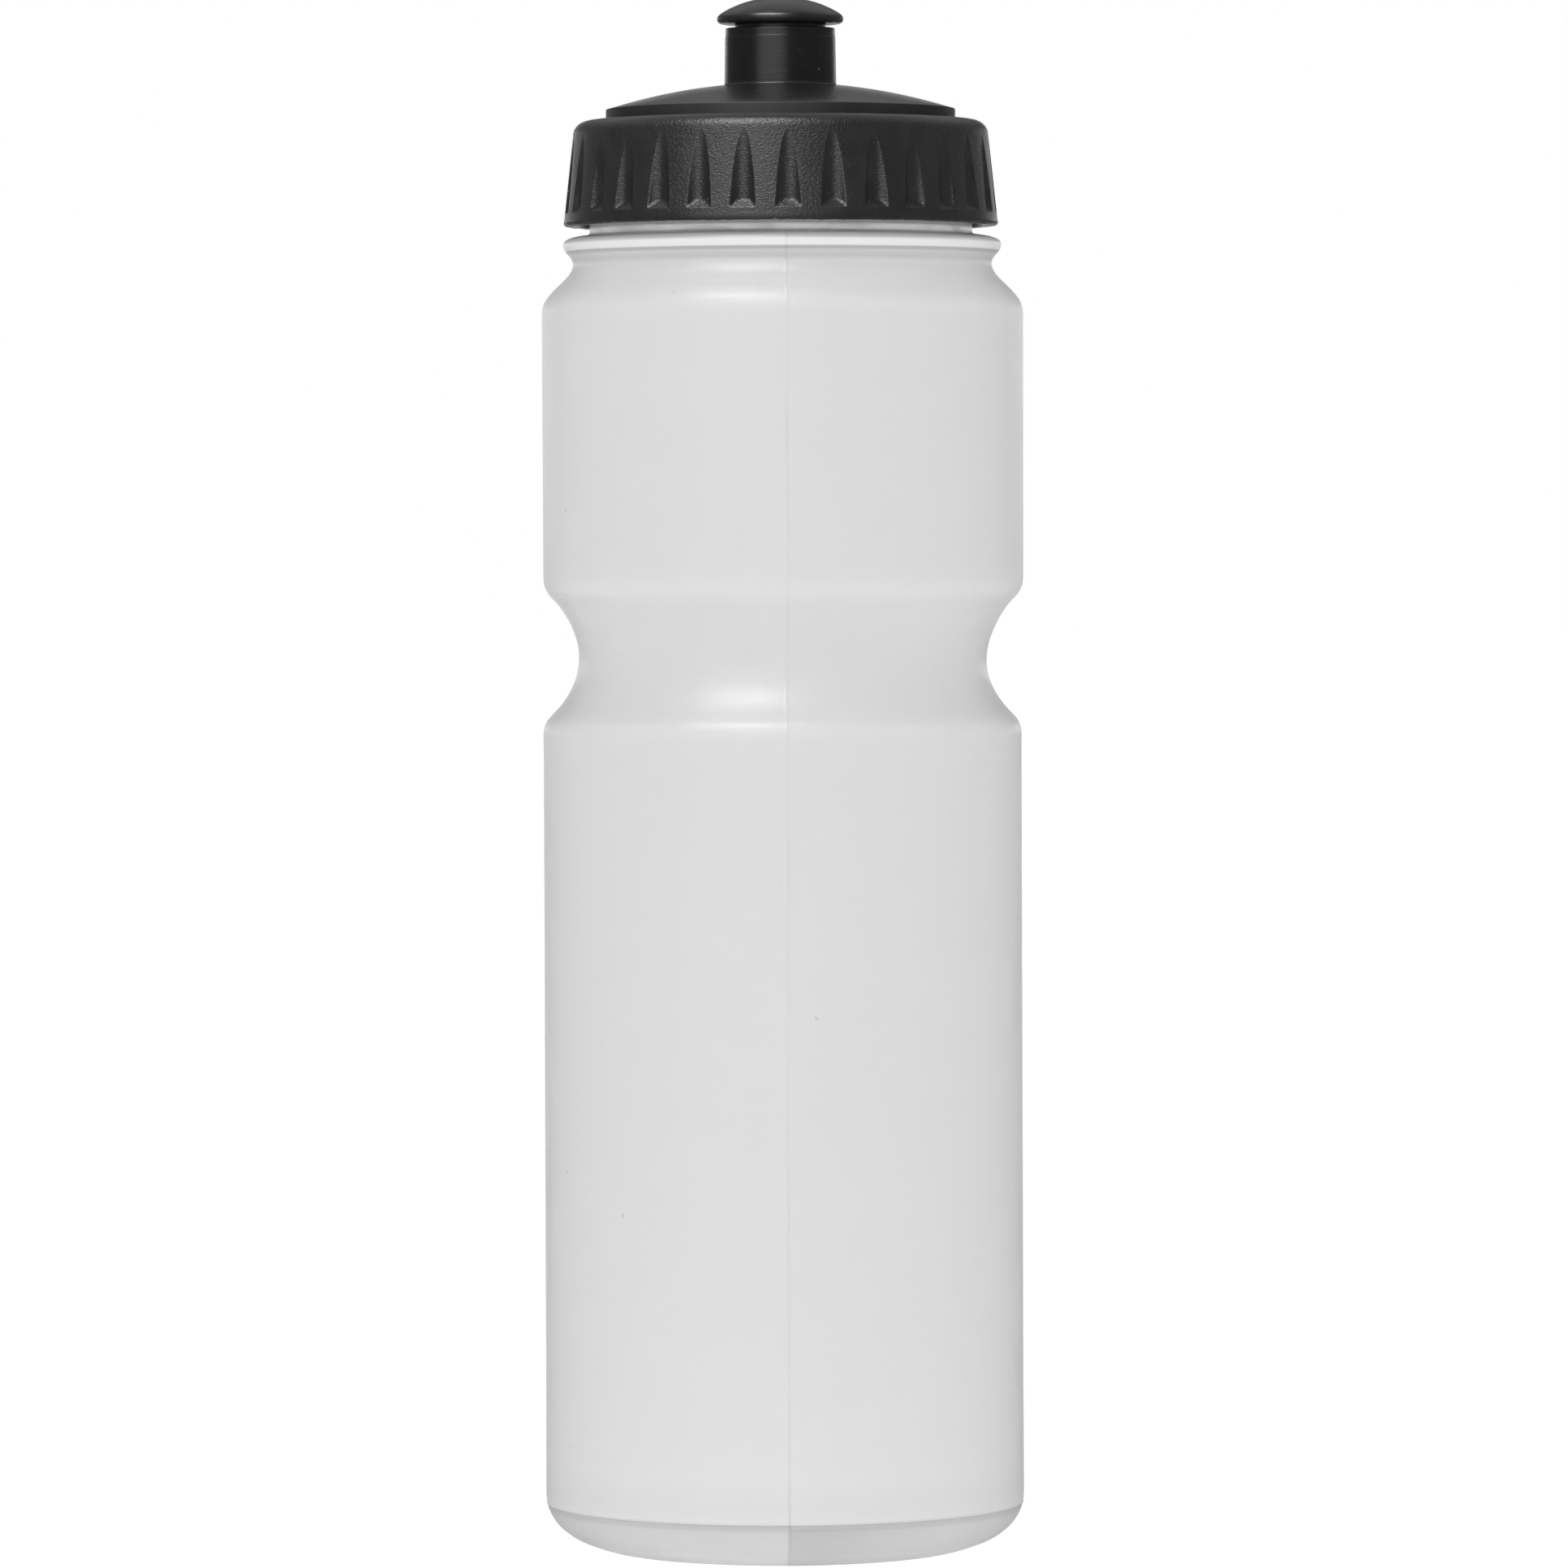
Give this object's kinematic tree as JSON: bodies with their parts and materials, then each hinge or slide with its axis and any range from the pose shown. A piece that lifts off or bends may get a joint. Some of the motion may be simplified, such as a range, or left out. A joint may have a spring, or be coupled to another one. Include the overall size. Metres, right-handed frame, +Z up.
{
  "type": "bicycle water bottle",
  "caption": "Milky squeeze bottle with a waist groove, black fluted screw cap, spout tower and push-pull mushroom mouthpiece",
  "frame": {"origin": "centre of the base, on the plane that the bottle stands on", "axes": "+Z up along the bottle's axis of revolution; the blow mould's parting plane is X = 0, so its front parting line faces -Y"},
  "size_m": [0.074, 0.074, 0.2388],
  "materials": {
    "bottle_wall": "milky translucent blow-moulded low-density polythene, satin",
    "seal": "translucent silicone, matte",
    "cap_black": "black moulded polythene, fine leather grain on the skirt, satin disc, glossier tower",
    "mouthpiece_black": "black soft polythene, satin"
  },
  "bodies": {
    "bottle_body": {"bottle": "bottle_wall"},
    "ring_body": {"sealing_ring": "seal"},
    "cap_body": {"screw_cap": "cap_black"},
    "mouthpiece_body": {"mouthpiece": "mouthpiece_black"}
  },
  "joints": [
    {"name": "cap_lift", "type": "slide", "parent": "bottle_body", "child": "ring_body", "axis": [0, 0, 1], "range_m": [0, 0.0201]},
    {"name": "cap_turn", "type": "hinge", "parent": "ring_body", "child": "cap_body", "pos_m": [0, 0, 0.2039], "axis": [0, 0, 1], "range_deg": [0, 1800]},
    {"name": "mouthpiece_pull", "type": "slide", "parent": "cap_body", "child": "mouthpiece_body", "axis": [0, 0, 1], "range_m": [0, 0.0062]}
  ],
  "couplings": [
    {"joint": "cap_lift", "follows": "cap_turn", "m_per_rad": 0.00063662}
  ]
}
